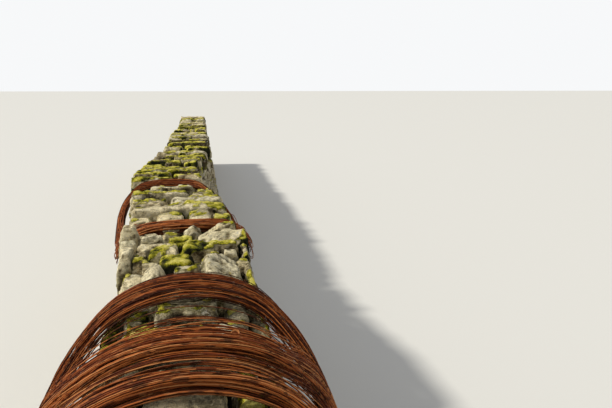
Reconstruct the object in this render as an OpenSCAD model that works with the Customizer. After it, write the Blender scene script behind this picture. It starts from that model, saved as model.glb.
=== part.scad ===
/* [Length] */
// length of one bay along the wall
bay_length = 2000; // [1600:50:2400]
// depth of the wall head that closes each end
head_depth = 300; // [220:10:420]

/* [Footing] */
// width across the footing stones
footing_width = 790; // [740:10:900]
// height of the footing stones
footing_height = 140; // [100:10:200]
// length of one footing stone along the wall
footing_stone = 400; // [300:20:600]

/* [Faced wall] */
// width of the faced wall where it stands on the footing
base_width = 680; // [600:10:720]
// width of the faced wall under the cope
top_width = 460; // [420:10:560]
// height of the faced wall over its footing
faced_height = 860; // [600:20:1100]
// usual length of a face stone along the wall
face_stone = 270; // [220:10:400]
// most that a face stone stands proud or shy of the batter
face_rough = 12; // [0:1:20]
// depth of the open joint between two face stones
joint_depth = 16; // [8:1:30]
// thickness of the hearting between the two faces
core_width = 140; // [100:10:200]

/* [Through stones] */
// width of a through stone along the wall
through_width = 230; // [160:10:300]
// how far a through stone stands out of each face
through_out = 55; // [20:5:90]

/* [Cope] */
// width across the cope
cope_width = 520; // [480:10:600]
// height of the cope
cope_height = 150; // [110:5:200]
// number of cope rows in one bay
cope_rows = 10; // [7:1:12]
// how far the top of a cope stone leans over along the wall
cope_lean = 34; // [0:2:60]
// gap between two cope stones
cope_gap = 8; // [4:1:14]

/* [Line of the wall] */
// how far the wall bellies out to the left
belly = 190; // [0:10:260]
// where the belly is widest along the wall
belly_at = -2100; // [-3500:50:3500]
// length over which the belly fades
belly_length = 1250; // [900:50:2000]

/* [Wire coils] */
// half the width of the arch that the near and the middle coil make over the wall
coil_reach = 460; // [440:5:490]
// height of that arch over its own middle
coil_crown = 500; // [460:5:540]
// angle from the top of that arch to the low end of a coil
coil_drop = 97; // [88:1:104]
// half the width of the flatter arch of the far coil
far_reach = 450; // [430:5:470]
// height of the flatter arch over its own middle
far_crown = 340; // [300:5:380]
// angle from the top of the flatter arch to the low end of the far coil
far_drop = 74; // [64:1:78]
// how square the flatter arch is, where 2 is an ellipse
far_square = 2.5; // [2.3:0.1:2.7]
// thickness of a bundle of wire
bundle_thick = 50; // [36:2:56]
// width of a bundle of wire where it lies over the cope
bundle_wide = 170; // [120:5:180]
// width of the far band of the near coil
near_coil_wide = 124; // [100:4:150]
// width of the far band of the middle coil
middle_coil_wide = 214; // [170:4:230]
// width of a bundle of wire at its low ends
bundle_end = 110; // [80:5:130]
// height of the wire seat above the cope height
seat_rise = 16; // [4:1:40]
// height of the seat of the far coil above the cope height
far_rise = -36; // [-44:1:-26]
// distance of the middle of the near coil from the near end
near_coil_at = 545; // [500:5:545]
// half the distance between the two bands of the near coil
near_coil_open = 150; // [120:5:180]
// distance of the middle of the middle coil from the near end
middle_coil_at = 1035; // [1000:5:1100]
// half the distance between the two bands of the middle coil
middle_coil_open = 165; // [130:5:180]
// distance of the middle of the far coil from the start of the second bay
far_coil_at = 775; // [740:5:850]
// half the distance between the two bands of the far coil
far_coil_open = 600; // [520:10:680]

/* [Hidden] */
// clearance between pieces that are seated side by side
seat = 0.3;
wall_length = 6 * bay_length;
near_y = -wall_length / 2;
bed_z = footing_height + faced_height;
course_share = [165, 150, 135, 115, 110, 100, 85];
course_total = 7;
share_sum = 860;
through_course = 3;
cope_half = cope_width / 2;
core_half = core_width / 2;
$fn = 24;

// repeatable scatter between 0 and 1
function hash(n) = let (v = sin(n * 12.9898 + 78.233) * 43758.5453) v - floor(v);
function around(n, r) = r * (2 * hash(n) - 1);

// centre line of the wall
function centre(y) =
    -belly * exp(-pow((y - belly_at) / belly_length, 2))
    + 28 * sin(360 * (y - near_y) / 9000) * min(1, max(0, (y - near_y) / 3000));

// heights of the courses
function share_below(k) = k <= 0 ? 0 : course_share[k - 1] + share_below(k - 1);
function course_z(k) = footing_height + round(10 * faced_height * share_below(k) / share_sum) / 10;
function half_at(z) =
    base_width / 2 + (top_width - base_width) / 2 * (z - footing_height) / faced_height;
function course_half(k) = half_at((course_z(k) + course_z(k + 1)) / 2);

// stretch of wall in one bay, the heads left out
function bay_start(b) = b == 1 ? near_y + head_depth + seat : near_y + (b - 1) * bay_length + seat / 2;
function bay_end(b) = b == 6 ? -near_y - head_depth - seat : near_y + b * bay_length - seat / 2;
quoin_step = 70;
function quoin(k) = k % 2 == 0 ? head_depth : head_depth - quoin_step;
function face_start(b, k) = b == 1 ? near_y + quoin(k) + seat : bay_start(b);
function face_end(b, k) = b == 6 ? -near_y - quoin(k) - seat : bay_end(b);

// through stones
function through_share(b, i) = b == 2 ? (i == 0 ? 0.14 : 0.56) : (i == 0 ? 0.4 : 0.76);
function through_y(b, i) =
    near_y + (b - 1) * bay_length + bay_length * through_share(b, i) + around(b * 7 + i, 12);

// one face course between two places, as a plan outline
function joint_y(ya, yb, m, j, s) =
    j <= 0 ? ya : j >= m ? yb : ya + (yb - ya) * (j + 0.22 * (hash(s + j * 3.7) * 2 - 1)) / m;
function course_outline(ya, yb, k, s, side) =
    let (m = max(1, round((yb - ya) / (face_stone * (0.86 + 0.28 * hash(s + 5))) + (k % 2) * 0.5)))
    concat(
        [for (j = [0 : m - 1], e = [0 : 2])
            let (
                y0 = joint_y(ya, yb, m, j, s),
                y1 = joint_y(ya, yb, m, j + 1, s),
                p = course_half(k) + around(s + j * 1.3 + 0.4, face_rough),
                y = e == 0 ? (j == 0 ? y0 : y0 + 5) : e == 1 ? (j == m - 1 ? y1 : y1 - 5) : y1
            )
            if (!(e == 2 && j == m - 1))
                [side * (e == 2 ? course_half(k) - joint_depth : p) + centre(y), y]],
        [for (i = [0 : 4])
            let (y = yb + (ya - yb) * i / 4)
            [side * (core_half + seat) + centre(y), y]]
    );

module course(ya, yb, k, s, side) {
    translate([0, 0, course_z(k)])
        linear_extrude(height = course_z(k + 1) - course_z(k))
            polygon(course_outline(ya, yb, k, s, side));
}

module face(b, side) {
    for (k = [0 : course_total - 1]) {
        s = b * 31 + k * 7.1 + (side > 0 ? 3.3 : 0);
        if (k == through_course) {
            course(face_start(b, k), through_y(b, 0) - through_width / 2 - seat, k, s, side);
            course(through_y(b, 0) + through_width / 2 + seat,
                   through_y(b, 1) - through_width / 2 - seat, k, s + 1, side);
            course(through_y(b, 1) + through_width / 2 + seat, face_end(b, k), k, s + 2, side);
        } else {
            course(face_start(b, k), face_end(b, k), k, s, side);
        }
    }
}

// hearting between the faces
module ribbon(ya, yb, z0, z1) {
    translate([0, 0, z0])
        linear_extrude(height = z1 - z0)
            polygon(concat(
                [for (i = [0 : 6]) let (y = ya + (yb - ya) * i / 6) [centre(y) - core_half, y]],
                [for (i = [0 : 6]) let (y = yb + (ya - yb) * i / 6) [centre(y) + core_half, y]]
            ));
}

module hearting(b) {
    za = course_z(through_course);
    zb = course_z(through_course + 1);
    ribbon(bay_start(b), bay_end(b), footing_height, za);
    ribbon(bay_start(b), through_y(b, 0) - through_width / 2 - seat, za, zb);
    ribbon(through_y(b, 0) + through_width / 2 + seat, through_y(b, 1) - through_width / 2 - seat, za, zb);
    ribbon(through_y(b, 1) + through_width / 2 + seat, bay_end(b), za, zb);
    ribbon(bay_start(b), bay_end(b), zb, bed_z);
}

// one long stone through both faces
module through_stone(b, i) {
    y = through_y(b, i);
    c = centre(y);
    h = course_half(through_course) + through_out;
    w = through_width / 2;
    translate([0, 0, course_z(through_course)])
        linear_extrude(height = course_z(through_course + 1) - course_z(through_course))
            polygon([
                [c - h + around(b + i, 14), y - w + 12],
                [c - h + 40, y - w],
                [c + h - 34, y - w],
                [c + h, y - w + 20 + around(b * 2 + i, 12)],
                [c + h + around(b * 3 + i, 14), y + w - 22],
                [c + h - 46, y + w],
                [c - h + 30, y + w],
                [c - h - 6, y + w - 26]
            ]);
}

module throughs(b) {
    through_stone(b, 0);
    through_stone(b, 1);
}

// footing stones in two lines that cross the centre line by turns and break joint with
// the bays
footing_cross = 80;
footing_joint = 3;
module footing(b) {
    ya = near_y + (b - 1) * bay_length + (b == 1 ? 0 : footing_stone / 2);
    yb = near_y + b * bay_length + (b == 6 ? 0 : footing_stone / 2);
    m = round((yb - ya) / footing_stone);
    for (side = [-1, 1], j = [0 : m - 1]) {
        y0 = ya + (yb - ya) * (j + (j == 0 ? 0 : around(b * 5 + j, 0.12))) / m + footing_joint / 2;
        y1 = ya - footing_joint / 2
            + (yb - ya) * (j + 1 + (j == m - 1 ? 0 : around(b * 5 + j + 1, 0.12))) / m;
        o = footing_width / 2;
        i = (j % 2 == 0 ? 1 : -1) * footing_cross + side * footing_joint / 2;
        linear_extrude(height = footing_height)
            polygon([
                [side * (o - 30 - 20 * hash(b + j)) + centre(y0), y0],
                [side * (o + around(b * 9 + j + side, 12)) + centre(y0), y0 + 60],
                [side * (o + around(b * 8 + j + side, 12)) + centre(y1), y1 - 50],
                [side * (o - 24 - 20 * hash(b * 3 + j)) + centre(y1), y1],
                [i + centre(y1), y1],
                [i + centre(y0), y0]
            ]);
    }
}

// rough convex blocks, many to one mesh: cut is how far the top is cut back at the sides,
// at the front and at the back, and how far it falls towards the back
no_cut = [0, 0, 0, 0];
function block_points(x0, x1, y0, y1, z, h, lean, flat, s, cut) = [
    for (r = [0 : 2], c = [0 : 3])
        let (
            ex = c == 0 || c == 3 ? 1 : -1,
            ey = c < 2 ? 1 : -1,
            g = cope_gap / 2,
            q = s + r * 4.3 + c * 1.7,
            back = (r == 0 ? 0 : r == 1 ? 0.3 : 1) * cut[ey > 0 ? 1 : 2],
            side = (r == 0 ? 0 : r == 1 ? 0.3 : 1) * cut[0],
            ix = min((cut[0] > 0 ? 0.4 : 0.3) * (x1 - x0),
                side + g + (r == 0 ? 12 * hash(q) : r == 1 ? 6 * hash(q) : 6 + 16 * hash(q))),
            iy = back + g
                + (r == 0 ? 8 * hash(q + 9) : r == 1 ? 5 * hash(q + 9) : 4 + 8 * hash(q + 9)),
            f = r == 0 ? 0 : r == 1 ? 0.42 + 0.12 * hash(q + 4) : flat ? 1 : 0.9 + 0.1 * hash(q + 4),
            fall = r == 2 && ey < 0 ? cut[3] : 0
        )
        [(ex > 0 ? x0 : x1) + ex * ix, (ey > 0 ? y0 : y1) + ey * iy + lean * f, z + h * f - fall]
];
block_faces = concat(
    [[0, 1, 2], [0, 2, 3], [8, 11, 10], [8, 10, 9]],
    [for (r = [0, 4], i = [0 : 3]) [r + i + 4, r + (i + 1) % 4 + 4, r + (i + 1) % 4]],
    [for (r = [0, 4], i = [0 : 3]) [r + i + 4, r + (i + 1) % 4, r + i]]
);

module blocks(list) {
    polyhedron(
        points = [for (a = list,
            p = block_points(a[0], a[1], a[2], a[3], bed_z, a[4], a[5], a[6], a[7], a[8])) p],
        faces = [for (i = [0 : len(list) - 1], f = block_faces) [for (v = f) v + 12 * i]]
    );
}

// marks along the cope of the two bays with wire on them, from the near end: each band
// of wire lies between two marks of its own
band_room = bundle_wide / 2 + 2;
near_room = near_coil_wide / 2 + 2;
middle_room = middle_coil_wide / 2 + 2;
leg_room = 78;
end_room = 6;
near_b = near_coil_at + near_coil_open;
middle_a = middle_coil_at - middle_coil_open;
middle_b = middle_coil_at + middle_coil_open;
far_a = bay_length + far_coil_at - far_coil_open;
far_b = bay_length + far_coil_at + far_coil_open;
function part_way(a, b, share) = a + (b - a) * share;
open_shares = [0.165, 0.28, 0.368, 0.485, 0.572, 0.66, 0.79, 0.892, 1];
near_marks = concat(
    [
        end_room,
        part_way(end_room, near_coil_at - near_coil_open - band_room, 0.5),
        near_coil_at - near_coil_open - band_room,
        near_coil_at - near_coil_open + band_room,
        near_b - near_room,
        part_way(near_b + near_room, middle_a - band_room, 0.9),
        middle_a + band_room,
        middle_b - middle_room,
        middle_b + middle_room
    ],
    [for (w = open_shares) part_way(middle_b + middle_room, bay_length - end_room, w)]
);
belly_marks = [
    bay_length + end_room,
    far_a - band_room,
    far_a + band_room,
    far_a + band_room + leg_room,
    part_way(far_a + band_room, far_b - band_room, 0.2),
    part_way(far_a + band_room, far_b - band_room, 0.393),
    part_way(far_a + band_room, far_b - band_room, 0.596),
    part_way(far_a + band_room, far_b - band_room, 0.788),
    far_b - band_room - leg_room,
    far_b - band_room,
    far_b + band_room,
    part_way(far_b + band_room, 2 * bay_length - end_room, 0.265),
    part_way(far_b + band_room, 2 * bay_length - end_room, 0.533),
    part_way(far_b + band_room, 2 * bay_length - end_room, 0.77),
    2 * bay_length - end_room
];

// rows of the cope in those bays: first mark, last mark, then the stones across as left,
// right and height, a height of 0 being a flat wire seat; a rounded or wedged stone also
// has how far its top is cut back at the sides, the front and the back, and falls
seat_height = cope_height + seat_rise - seat;
far_seat_height = cope_height + far_rise - seat;
near_rows = [
    [0, 1, [-250, -60, 140], [-60, 110, 150], [110, 245, 132]],
    [1, 2, [-240, 30, 150], [30, 250, 138]],
    [2, 3, [-256, -190, 74], [-190, -105, 118], [-105, 105, 0], [105, 190, 118], [190, 256, 72]],
    [3, 4, [-254, -170, 74], [-170, -20, 146], [-20, 120, 138], [120, 180, 122], [180, 256, 76]],
    [4, 5, [-258, -188, 76], [-188, -100, 116], [-100, 108, 0], [108, 190, 120], [190, 254, 72]],
    [5, 6, [-256, -190, 72], [-190, -108, 120], [-108, 100, 0], [100, 188, 116], [188, 258, 74]],
    [6, 7, [-262, -165, 76], [-165, -55, 130], [-55, 70, 148], [70, 165, 134], [165, 258, 76]],
    [7, 8, [-255, -190, 74], [-190, -104, 118], [-104, 106, 0], [106, 190, 118], [190, 256, 74]],
    [8, 9, [-250, -160, 112]],
    [9, 11, [-252, -160, 132, 10, 14, 0, 0]],
    [8, 11, [-160, -40, 172, 30, 100, 6, 0]],
    [8, 10, [-40, 38, 112]],
    [10, 11, [-40, 38, 130]],
    [8, 12, [38, 206, 206, 16, 34, 12, 6]],
    [8, 12, [206, 252, 132, 4, 16, 0, 8]],
    [11, 13, [-268, -206, 126, 4, 6, 0, 8], [-206, -112, 140, 2, 6, 0, 6], [-112, 38, 156, 6, 12, 4, 8]],
    [12, 13, [38, 140, 136]],
    [12, 14, [140, 214, 152, 4, 12, 0, 12]],
    [12, 15, [214, 264, 138, 4, 10, 0, 8]],
    [13, 15, [-284, -174, 134, 4, 8, 0, 10], [-174, -30, 156, 4, 4, 0, 16], [-30, 80, 168, 6, 14, 2, 14]],
    [13, 14, [80, 140, 144]],
    [14, 15, [80, 214, 160, 2, 4, 0, 16]],
    [15, 16, [-298, -214, 138, 4, 4, 0, 6], [-214, -88, 146, 4, 4, 0, 10], [-88, 40, 150, 2, 4, 0, 8]],
    [16, 17, [-300, -214, 150, 4, 6, 0, 8], [-214, -92, 164, 4, 6, 0, 14], [-92, 40, 152, 2, 4, 0, 8]],
    [15, 17, [40, 270, 168, 4, 10, 0, 22]]
];
belly_rows = [
    [0, 1, [-312, -206, 166, 6, 4, 0, 0], [-206, -124, 140], [-124, -24, 150, 4, 4, 0, 0],
        [-24, 86, 166, 6, 4, 0, 0], [86, 248, 188, 10, 8, 0, 6]],
    [1, 2, [-296, -190, 50], [-190, -105, 86], [-105, 105, 0], [105, 190, 86], [190, 256, 64]],
    [2, 4, [-150, 10, 158, 4, 6, 0, 16], [10, 150, 152, 4, 6, 0, 12]],
    [3, 4, [-292, -150, 126, 4, 6, 0, 6], [150, 262, 120]],
    [4, 5, [-290, 258, 164, 6, 4, 0, 22]],
    [5, 6, [-286, -60, 150, 4, 4, 0, 14], [-60, 258, 162, 4, 4, 0, 20]],
    [6, 7, [-280, 90, 168, 6, 4, 0, 24], [90, 262, 148, 4, 4, 0, 10]],
    [7, 9, [-150, 150, 158, 4, 6, 0, 18]],
    [7, 8, [-272, -150, 120, 4, 4, 0, 0], [150, 258, 126, 4, 4, 0, 8]],
    [9, 10, [-256, -190, 62], [-190, -105, 86], [-105, 105, 0], [105, 190, 86], [190, 256, 62]],
    [10, 11, [-270, 60, 164, 6, 6, 0, 20], [60, 262, 180, 6, 8, 0, 22]],
    [11, 12, [-255, 40, 168, 4, 4, 0, 22], [40, 258, 152, 4, 4, 0, 12]],
    [12, 13, [-272, -20, 152, 6, 4, 0, 14], [-20, 262, 172, 4, 6, 0, 24]],
    [13, 14, [-262, 258, 162, 6, 4, 0, 18]]
];
function laid_stones(rows, marks, flat_height, lean) = [
    for (r = [0 : len(rows) - 1], i = [2 : len(rows[r]) - 1])
        let (
            row = rows[r],
            st = row[i],
            y0 = near_y + marks[row[0]],
            y1 = near_y + marks[row[1]],
            k = cope_width / 520,
            c = centre((y0 + y1) / 2),
            flat = st[2] == 0,
            h = flat ? flat_height : st[2] * cope_height / 150
        )
        [st[0] * k + c, st[1] * k + c, y0, y1, h, lean + 3 * hash(r), flat, r * 3.1 + i * 1.9,
         len(st) > 3 ? [st[3], st[4], st[5], st[6]] : no_cut]
];

// the other bays: slabs across the wall that lean like toppled books
function row_y(b, r) =
    near_y + (b - 1) * bay_length
    + bay_length * (r + (r == 0 || r == cope_rows ? 0 : around(b * 13 + r, 0.16))) / cope_rows
    + (r == 0 && b == 1 ? 6 : 0) - (r == cope_rows && b == 6 ? cope_lean + 12 : 0);
function row_split(b, r) =
    let (q = hash(b * 17.3 + r * 2.9))
    q < 0.45 ? [-1, 1] : q < 0.82 ? [-1, -0.3 + 0.6 * hash(b + r * 5.1), 1] :
    [-1, -0.4 + 0.2 * hash(b + r * 4.1), 0.2 + 0.3 * hash(b + r * 6.1), 1];
function bay_stones(b) = [
    for (r = [0 : cope_rows - 1])
        let (
            sp = row_split(b, r),
            y0 = row_y(b, r),
            y1 = row_y(b, r + 1),
            c = centre((y0 + y1) / 2)
        )
        for (i = [0 : len(sp) - 2])
            let (
                q = b * 11.9 + r * 3.3 + i * 1.1,
                o = cope_half + around(q + 2, 20)
            )
            [c + sp[i] * o, c + sp[i + 1] * o, y0, y1,
             cope_height * (0.84 + 0.34 * hash(q + 6)), cope_lean, false, q,
             [14 * hash(q + 1), 10 * hash(q + 5), 0, 10 + 26 * hash(q + 8)]]
];

// wall head of toothed quoins, the same at both ends
module head(y_end, dir, s) {
    for (k = [0 : course_total - 1]) {
        h = course_half(k);
        q = quoin(k);
        c = centre(y_end + dir * head_depth);
        m = around(s + k * 2.3, 60);
        translate([0, y_end, course_z(k)])
            linear_extrude(height = course_z(k + 1) - course_z(k))
                polygon([
                    [c - h, dir * (4 + 10 * hash(s + k))],
                    [c + m - 6, dir * 8 * hash(s + k + 1)],
                    [c + m, dir * joint_depth],
                    [c + m + 6, dir * 8 * hash(s + k + 2)],
                    [c + h, dir * (4 + 10 * hash(s + k + 3))],
                    [c + h + around(s + k, 6), dir * q],
                    [c + core_half, dir * q],
                    [c + core_half, dir * head_depth],
                    [c - core_half, dir * head_depth],
                    [c - core_half, dir * q],
                    [c - h + around(s + k + 5, 6), dir * q]
                ]);
    }
}

// coil of wire laid over the wall like a saddle: a bundle that runs round on an arch,
// which is a flattened circle of reach, crown, drop and squareness
seat_turn = 8;
steps = 12;
coil_arch = [coil_reach, coil_crown, coil_drop, 2];
far_arch = [far_reach, far_crown, far_drop, far_square];
function unit(v) = v / norm(v);
function power(v, n) = sign(v) * pow(abs(v), n);
function arch_angle(arch, t) = arch[2] * sin(t);
function arch_at(arch, t) =
    let (f = arch_angle(arch, t), n = 2 / arch[3])
    [arch[0] * power(sin(f), n), 0, arch[1] * power(cos(f), n)];
function arch_out(arch, t) =
    let (f = arch_angle(arch, t), n = 2 - 2 / arch[3])
    unit([power(sin(f), n) / arch[0], 0, power(cos(f), n) / arch[1]]);
function bundle_half(t) = bundle_thick / 2 * (1 + 0.3 * abs(sin(t)));
function arch_z(arch, rise) =
    bed_z + cope_height + rise + bundle_half(seat_turn) * arch_out(arch, seat_turn)[2]
    - arch_at(arch, seat_turn)[2];
function coil_point(at, open, rise, arch, t) =
    let (y = near_y + at + open * cos(t), held = sign(cos(t)) * min(1, abs(cos(t) / cos(seat_turn))))
    [centre(near_y + at + open * held), y, arch_z(arch, rise)] + arch_at(arch, t);
function coil_ring(at, open, rise, arch, wide, t) =
    let (
        p = coil_point(at, open, rise, arch, t),
        a = coil_point(at, open, rise, arch, t + 1) - coil_point(at, open, rise, arch, t - 1),
        n = arch_out(arch, t),
        e = abs(sin(t)),
        w = e < 0.2 ? [0, -sign(cos(t)), 0] : unit(cross(unit(a), n)),
        half = ((cos(t) > 0 ? wide : bundle_wide) * (1 - e * e) + bundle_end * e * e) / 2,
        th = bundle_half(t)
    )
    [for (k = [[-1, 0], [-0.55, -1], [0.55, -1], [1, 0], [0.55, 1], [-0.55, 1]])
        p + w * half * k[0] + n * th * k[1]];

// stations: the wire lies flat on its seat between the first two on each band
function coil_stops() = [
    for (turn = [0, 180], i = [0 : steps])
        turn + (i == 0 ? -seat_turn : seat_turn + (i - 1) * (180 - 2 * seat_turn) / steps)
];

module coil(at, open, rise, arch, wide) {
    stops = coil_stops();
    n = len(stops);
    polyhedron(
        points = [for (t = stops, p = coil_ring(at, open, rise, arch, wide, t)) p],
        faces = [for (i = [0 : n - 1], j = [0 : 5], h = [0, 1])
            let (
                a = i * 6 + j,
                b = i * 6 + (j + 1) % 6,
                c = ((i + 1) % n) * 6 + (j + 1) % 6,
                d = ((i + 1) % n) * 6 + j
            )
            h == 0 ? [a, b, c] : [a, c, d]]
    );
}

module footing_1() {
    color("#8f8b7f") footing(1);
}

module footing_2() {
    color("#8f8b7f") footing(2);
}

module footing_3() {
    color("#8f8b7f") footing(3);
}

module footing_4() {
    color("#8f8b7f") footing(4);
}

module footing_5() {
    color("#8f8b7f") footing(5);
}

module footing_6() {
    color("#8f8b7f") footing(6);
}

module left_face_1() {
    color("#a9a698") face(1, -1);
}

module left_face_2() {
    color("#a9a698") face(2, -1);
}

module left_face_3() {
    color("#a9a698") face(3, -1);
}

module left_face_4() {
    color("#a9a698") face(4, -1);
}

module left_face_5() {
    color("#a9a698") face(5, -1);
}

module left_face_6() {
    color("#a9a698") face(6, -1);
}

module right_face_1() {
    color("#a39f92") face(1, 1);
}

module right_face_2() {
    color("#a39f92") face(2, 1);
}

module right_face_3() {
    color("#a39f92") face(3, 1);
}

module right_face_4() {
    color("#a39f92") face(4, 1);
}

module right_face_5() {
    color("#a39f92") face(5, 1);
}

module right_face_6() {
    color("#a39f92") face(6, 1);
}

module hearting_1() {
    color("#8a8578") hearting(1);
}

module hearting_2() {
    color("#8a8578") hearting(2);
}

module hearting_3() {
    color("#8a8578") hearting(3);
}

module hearting_4() {
    color("#8a8578") hearting(4);
}

module hearting_5() {
    color("#8a8578") hearting(5);
}

module hearting_6() {
    color("#8a8578") hearting(6);
}

module through_stones_1() {
    color("#b4b1a2") throughs(1);
}

module through_stones_2() {
    color("#b4b1a2") throughs(2);
}

module through_stones_3() {
    color("#b4b1a2") throughs(3);
}

module through_stones_4() {
    color("#b4b1a2") throughs(4);
}

module through_stones_5() {
    color("#b4b1a2") throughs(5);
}

module through_stones_6() {
    color("#b4b1a2") throughs(6);
}

module cope_1() {
    color("#b9b7a8") blocks(laid_stones(near_rows, near_marks, seat_height, 2));
}

module cope_2() {
    color("#b9b7a8") blocks(laid_stones(belly_rows, belly_marks, far_seat_height, 3));
}

module cope_3() {
    color("#b9b7a8") blocks(bay_stones(3));
}

module cope_4() {
    color("#b9b7a8") blocks(bay_stones(4));
}

module cope_5() {
    color("#b9b7a8") blocks(bay_stones(5));
}

module cope_6() {
    color("#b9b7a8") blocks(bay_stones(6));
}

module near_wall_head() {
    color("#a6a294") head(near_y, 1, 3);
}

module far_wall_head() {
    color("#a6a294") head(-near_y, -1, 8);
}

module near_wire_coil() {
    color("#7a4527") coil(near_coil_at, near_coil_open, seat_rise, coil_arch, near_coil_wide);
}

module middle_wire_coil() {
    color("#6d3a24") coil(middle_coil_at, middle_coil_open, seat_rise, coil_arch, middle_coil_wide);
}

module far_wire_coil() {
    color("#5e3322") coil(bay_length + far_coil_at, far_coil_open, far_rise, far_arch, bundle_wide);
}

footing_1();
footing_2();
footing_3();
footing_4();
footing_5();
footing_6();
left_face_1();
left_face_2();
left_face_3();
left_face_4();
left_face_5();
left_face_6();
right_face_1();
right_face_2();
right_face_3();
right_face_4();
right_face_5();
right_face_6();
hearting_1();
hearting_2();
hearting_3();
hearting_4();
hearting_5();
hearting_6();
through_stones_1();
through_stones_2();
through_stones_3();
through_stones_4();
through_stones_5();
through_stones_6();
cope_1();
cope_2();
cope_3();
cope_4();
cope_5();
cope_6();
near_wall_head();
far_wall_head();
near_wire_coil();
middle_wire_coil();
far_wire_coil();
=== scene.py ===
import math
from itertools import product

import bpy
import numpy as np
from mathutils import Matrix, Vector


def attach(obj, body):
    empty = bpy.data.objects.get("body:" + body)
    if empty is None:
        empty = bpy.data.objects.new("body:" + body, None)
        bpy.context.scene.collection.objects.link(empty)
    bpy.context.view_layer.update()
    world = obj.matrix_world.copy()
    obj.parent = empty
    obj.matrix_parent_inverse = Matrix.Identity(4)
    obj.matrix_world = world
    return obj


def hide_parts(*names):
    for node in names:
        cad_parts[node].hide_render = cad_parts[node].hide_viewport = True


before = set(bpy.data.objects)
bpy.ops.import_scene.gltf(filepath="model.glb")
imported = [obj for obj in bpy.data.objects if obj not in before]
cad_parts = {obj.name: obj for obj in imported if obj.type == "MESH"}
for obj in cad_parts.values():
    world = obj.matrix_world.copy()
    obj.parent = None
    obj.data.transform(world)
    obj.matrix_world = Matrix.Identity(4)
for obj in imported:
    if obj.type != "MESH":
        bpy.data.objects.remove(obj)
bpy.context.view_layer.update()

# sizes of the wall in metres, as in the part's source
BAY = 2.0
BAYS = range(1, 7)
HEAD_DEPTH = 0.3
QUOIN_BACK = 0.07
FOOTING_H = 0.14
BASE_W, TOP_W = 0.68, 0.46
FACED_H = 0.86
FACE_STONE = 0.27
FACE_ROUGH = 0.012
THROUGH_W = 0.23
COPE_H = 0.15
BELLY, BELLY_AT, BELLY_LEN = 0.19, -2.1, 1.25
COURSES = [0.165, 0.15, 0.135, 0.115, 0.11, 0.1, 0.085]
NEAR_Y = -3 * BAY
BED_Z = FOOTING_H + FACED_H
THROUGH_COURSE = 3

# sizes of the wire coils in metres and degrees, as in the part's source
BUNDLE_T, BUNDLE_W, BUNDLE_END = 0.05, 0.17, 0.11
SEAT_TURN = 8.0
STEEP_ARCH = dict(reach=0.46, crown=0.5, drop=97.0, square=2.0)
FLAT_ARCH = dict(reach=0.45, crown=0.34, drop=74.0, square=2.5)

# widths of the mesh cells on each kind of stone, the width under which grit shows, and most cells across
FACE_CELL, HEAD_CELL, FOOTING_CELL, THROUGH_CELL, PACKING_CELL = 0.0255, 0.018, 0.032, 0.024, 0.006
GRITTY_CELL = 0.012
MOST_CELLS = 72

# how far from a neighbour a stone is in its shade, and how thick moss grows
SHADE_REACH = 0.029
MOSS_THICK = 0.013

# first seeds of each kind of piece
FACE_SEED, FOOTING_SEED, THROUGH_SEED, HEAD_SEED, PACKING_SEED = 20000, 50000, 60000, 70000, 9000

# sides of a wire, and its clearance from the stones that it is draped over
WIRE_SIDES = 4
WIRE_CLEAR = 0.008

# the photograph's camera: focal length and width in pixels, tilt and turn in degrees, place in metres
FOCAL_PX, PHOTO_W = 500, 612
PITCH, YAW = 13.06, 12.42
EYE_X, EYE_BACK, EYE_UP = 0.06, 0.3, 0.66


def scatter(n):
    v = math.sin(math.radians(n * 12.9898 + 78.233)) * 43758.5453
    return v - math.floor(v)


def around(n, r):
    return r * (2 * scatter(n) - 1)


def centre(y):
    fade = min(1, max(0, (y - NEAR_Y) / 3))
    return (-BELLY * math.exp(-((y - BELLY_AT) / BELLY_LEN) ** 2)
            + 0.028 * math.sin(math.radians(360 * (y - NEAR_Y) / 9)) * fade)


def course_z(k):
    return FOOTING_H + sum(COURSES[:k])


def course_half(k):
    z = (course_z(k) + course_z(k + 1)) / 2
    return BASE_W / 2 + (TOP_W - BASE_W) / 2 * (z - FOOTING_H) / FACED_H


# noise on arrays of points
def lattice(x, y, z, seed):
    h = (x * 374761393 + y * 668265263 + z * 1274126177 + seed * 2246822519) & 0xFFFFFFFF
    h = ((h ^ (h >> 13)) * 1103515245) & 0xFFFFFFFF
    h = ((h ^ (h >> 15)) * 2654435761) & 0xFFFFFFFF
    return ((h ^ (h >> 16)) & 0xFFFF) / 32767.5 - 1


def noise(p, size, seed):
    q = p / size
    i = np.floor(q).astype(np.int64)
    f = q - i
    u = f * f * f * (f * (f * 6 - 15) + 10)
    out = np.zeros(len(p))
    for step in product((0, 1), repeat=3):
        w = [u[:, a] if step[a] else 1 - u[:, a] for a in range(3)]
        out += w[0] * w[1] * w[2] * lattice(*(i[:, a] + step[a] for a in range(3)), seed)
    return out


def fractal(p, size, seed, octaves=3, gain=0.5):
    out, amp, total = np.zeros(len(p)), 1.0, 0.0
    for o in range(octaves):
        out += amp * noise(p, size / 2 ** o, seed + 17 * o)
        total += amp
        amp *= gain
    return out / total


def smooth(a, b, x):
    t = np.clip((x - a) / (b - a), 0, 1)
    return t * t * (3 - 2 * t)


def scattered(p, size, seed, spread):
    """Each of the 27 cells around the points p, with the way there from the cell's own scattered point."""
    q = p / size
    i = np.floor(q).astype(np.int64)
    for step in product((-1, 0, 1), repeat=3):
        cell = [i[:, a] + step[a] for a in range(3)]
        yield cell, [q[:, a] - cell[a] - 0.5 - spread * lattice(*cell, seed + a) for a in range(3)]


def scallops(p, size, seed):
    """Distance to the nearest of scattered points, one to a cell of this size."""
    best = np.full(len(p), 9.0)
    for _, way in scattered(p, size, seed, 0.45):
        best = np.minimum(best, way[0] ** 2 + way[1] ** 2 + way[2] ** 2)
    return np.sqrt(best)


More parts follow.
